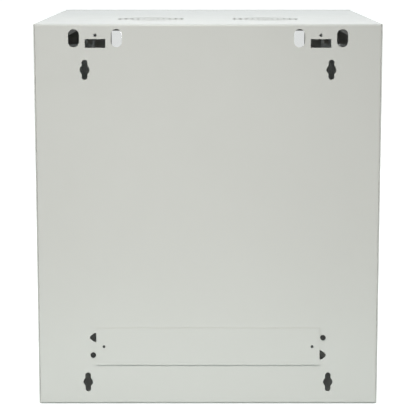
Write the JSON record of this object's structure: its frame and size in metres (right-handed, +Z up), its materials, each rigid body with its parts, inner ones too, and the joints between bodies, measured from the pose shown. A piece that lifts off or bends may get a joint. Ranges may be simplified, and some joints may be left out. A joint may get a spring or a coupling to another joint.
{
  "type": "network server rack cabinet",
  "caption": "Wall-mounted light-grey steel rack cabinet for 19-inch equipment, with a glass door, lift-off side panels, fan grilles and keyholes in the rear panel.",
  "frame": {"origin": "middle of the base, on the plane that the cabinet stands on, halfway between the rear panel and the front of the door", "axes": "+Z up, -Y out of the glass door, +Y towards the wall, +X to the right as seen from the door side"},
  "size_m": [0.5736, 0.6053, 0.64],
  "materials": {
    "light_grey_powder_coat": "light grey textured powder coat on steel sheet",
    "zinc_plated_rail": "zinc-plated steel",
    "zinc_plated": "zinc-plated spring steel",
    "zinc_fastener": "bright zinc-plated fastener",
    "lock_nickel": "nickel-plated zinc die casting",
    "black_steel": "black oxide screw",
    "black_plastic": "matt black nylon",
    "nylon": "natural nylon",
    "gasket_rubber": "black foam tape",
    "tinted_glass": "clear toughened glass with a slight grey tint"
  },
  "bodies": {
    "cabinet": {"rear_panel": "light_grey_powder_coat", "top_panel": "light_grey_powder_coat", "bottom_panel": "light_grey_powder_coat", "top_side_rail_left": "light_grey_powder_coat", "top_side_rail_right": "light_grey_powder_coat", "bottom_side_rail_left": "light_grey_powder_coat", "bottom_side_rail_right": "light_grey_powder_coat", "front_post_left": "light_grey_powder_coat", "front_post_right": "light_grey_powder_coat", "rear_post_left": "light_grey_powder_coat", "rear_post_right": "light_grey_powder_coat", "front_top_bar": "light_grey_powder_coat", "front_bottom_bar": "light_grey_powder_coat", "rack_rail_front_left": "zinc_plated_rail", "rack_rail_front_right": "zinc_plated_rail", "rack_rail_rear_left": "zinc_plated_rail", "rack_rail_rear_right": "zinc_plated_rail", "rail_screws": "zinc_fastener", "rail_nuts": "zinc_fastener", "rear_entry_cover": "light_grey_powder_coat", "rear_cover_screws": "black_steel", "rear_push_rivets": "black_plastic", "bottom_entry_cover": "light_grey_powder_coat", "bottom_cover_screws": "zinc_fastener", "hinge_pins": "zinc_fastener", "hinge_washers": "nylon", "earth_stud": "zinc_fastener", "earth_nut": "zinc_fastener"},
    "door": {"door_frame": "light_grey_powder_coat", "door_stiffener_left": "light_grey_powder_coat", "door_stiffener_right": "light_grey_powder_coat", "door_glass": "tinted_glass", "glass_gasket": "gasket_rubber", "glass_clips": "zinc_plated", "clip_screws": "zinc_fastener", "door_pivot_bushes": "nylon", "door_earth_stud": "zinc_fastener", "door_lock_barrel": "lock_nickel", "door_lock_nut": "zinc_fastener"},
    "door_lock": {"door_lock_plug": "lock_nickel", "door_lock_cam": "lock_nickel", "door_cam_screw": "zinc_fastener"},
    "side_left": {"side_panel_left": "light_grey_powder_coat", "side_lock_barrel_left": "lock_nickel", "side_lock_nut_left": "zinc_fastener"},
    "side_lock_left": {"side_lock_plug_left": "lock_nickel", "side_lock_cam_left": "lock_nickel"},
    "side_right": {"side_panel_right": "light_grey_powder_coat", "side_lock_barrel_right": "lock_nickel", "side_lock_nut_right": "zinc_fastener"},
    "side_lock_right": {"side_lock_plug_right": "lock_nickel", "side_lock_cam_right": "lock_nickel"}
  },
  "joints": [
    {"name": "door_hinge", "type": "hinge", "parent": "cabinet", "child": "door", "pos_m": [-0.278, -0.293, 0.32], "axis": [0, 0, -1], "range_deg": [0, 180]},
    {"name": "door_lock_turn", "type": "hinge", "parent": "door", "child": "door_lock", "pos_m": [0.232, -0.29, 0.32], "axis": [0, -1, 0], "range_deg": [0, 90]},
    {"name": "side_left_lift_off", "type": "slide", "parent": "cabinet", "child": "side_left", "axis": [-1, 0, 0], "range_m": [0, 0.15]},
    {"name": "side_right_lift_off", "type": "slide", "parent": "cabinet", "child": "side_right", "axis": [1, 0, 0], "range_m": [0, 0.15]},
    {"name": "side_lock_left_turn", "type": "hinge", "parent": "side_left", "child": "side_lock_left", "pos_m": [-0.275, 0, 0.59], "axis": [1, 0, 0], "range_deg": [0, 90]},
    {"name": "side_lock_right_turn", "type": "hinge", "parent": "side_right", "child": "side_lock_right", "pos_m": [0.275, 0, 0.59], "axis": [1, 0, 0], "range_deg": [0, 90]}
  ]
}
